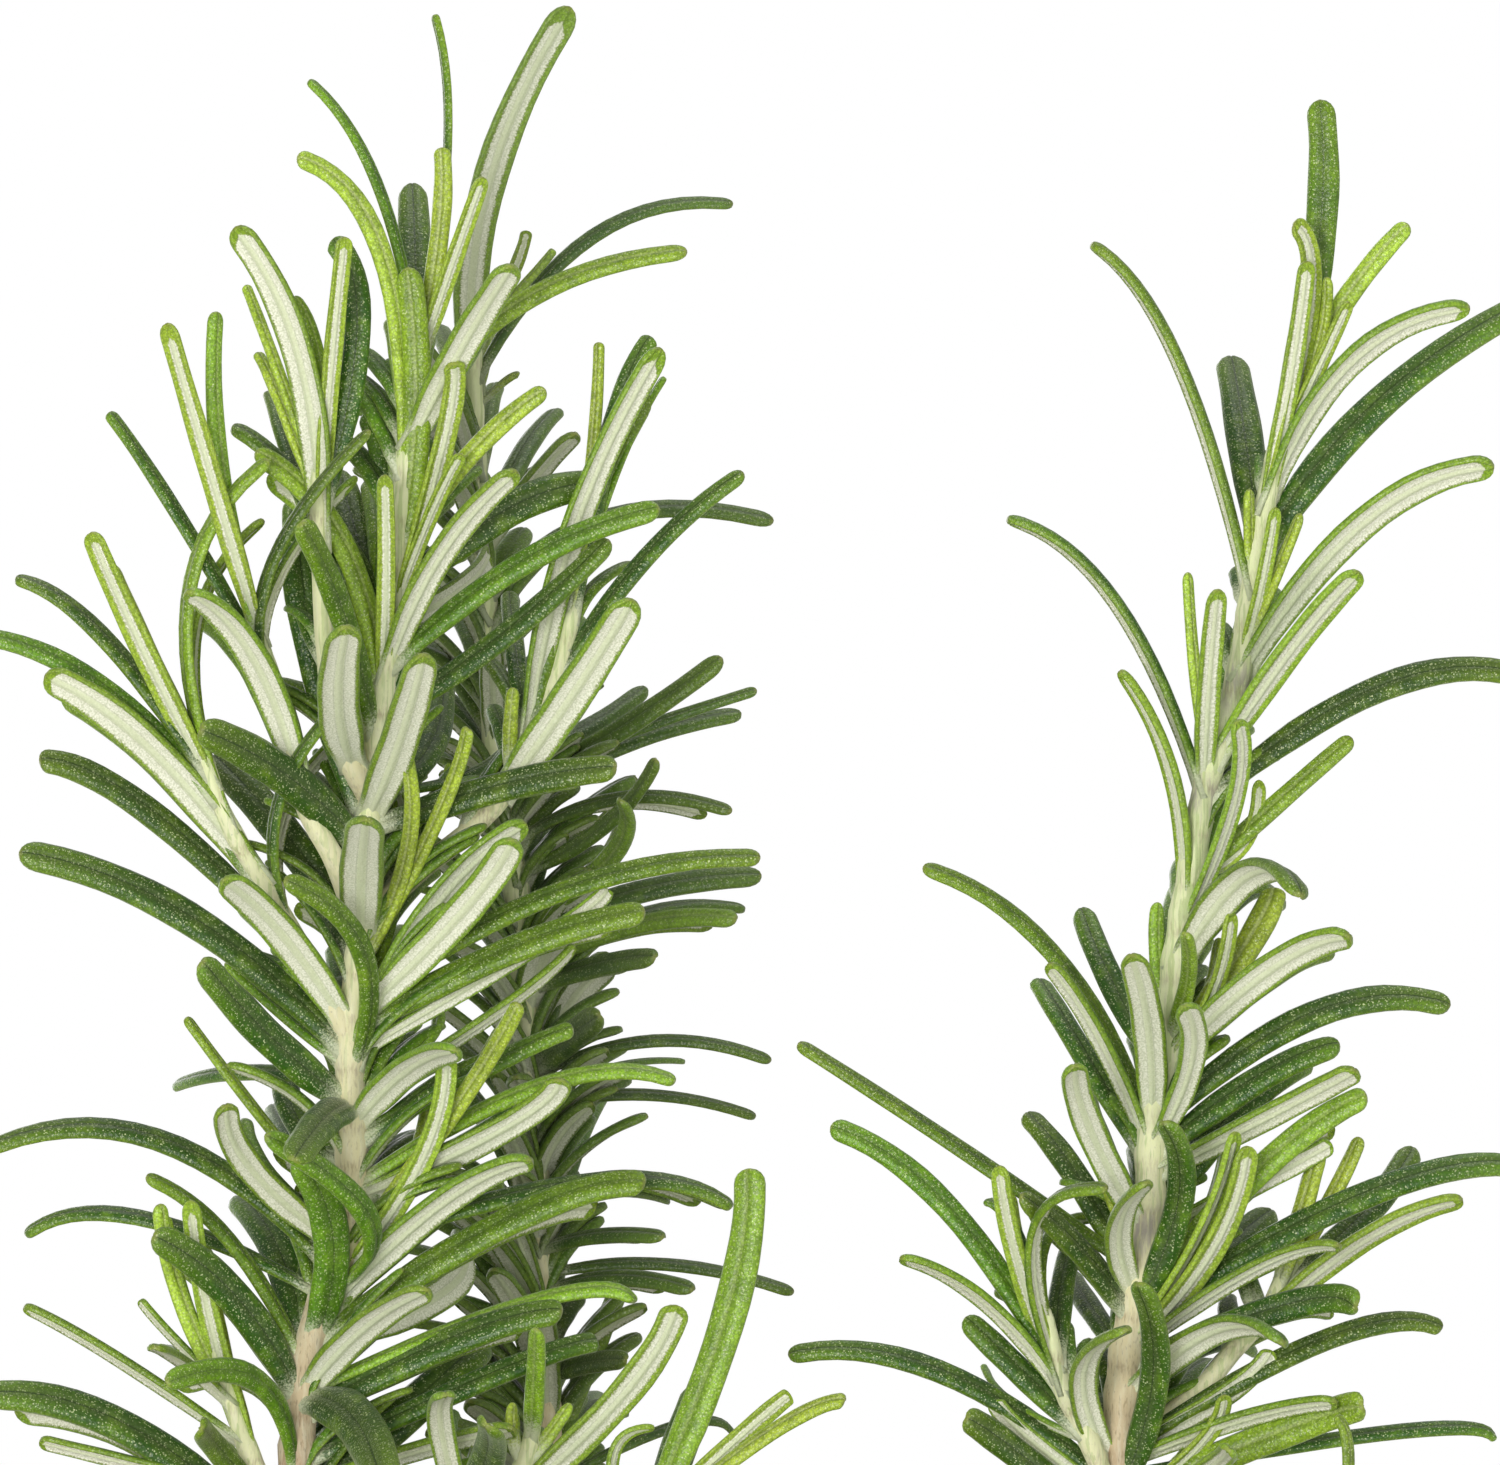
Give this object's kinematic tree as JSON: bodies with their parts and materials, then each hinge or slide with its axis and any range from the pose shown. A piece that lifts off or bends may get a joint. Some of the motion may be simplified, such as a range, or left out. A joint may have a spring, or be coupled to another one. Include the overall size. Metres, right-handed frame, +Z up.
{
  "type": "potted rosemary plant",
  "caption": "Rosemary plant with upright woody shoots and narrow needle leaves, growing in soil in a plain round clay pot with a banded rim.",
  "frame": {"origin": "centre of the pot's base, on the surface it stands on", "axes": "+Z up along the pot's axis, -Y towards the viewer of the picture, +X to the viewer's right"},
  "size_m": [0.1353, 0.13, 0.3018],
  "materials": {
    "clay": "matt, unglazed terracotta with a fine grain and faint pale bloom",
    "earth": null,
    "foliage": "leathery leaves, dark green and slightly glossy above, white felt beneath, on pale felted stems"
  },
  "bodies": {
    "root": {"pot": "clay", "soil": "earth", "shoot_left": "foliage", "shoot_right": "foliage", "shoot_back": "foliage", "shoot_middle": "foliage", "shoot_front_right": "foliage", "shoot_back_right": "foliage", "shoot_back_left": "foliage", "shoot_front_left": "foliage", "shoot_front": "foliage"}
  },
  "joints": []
}
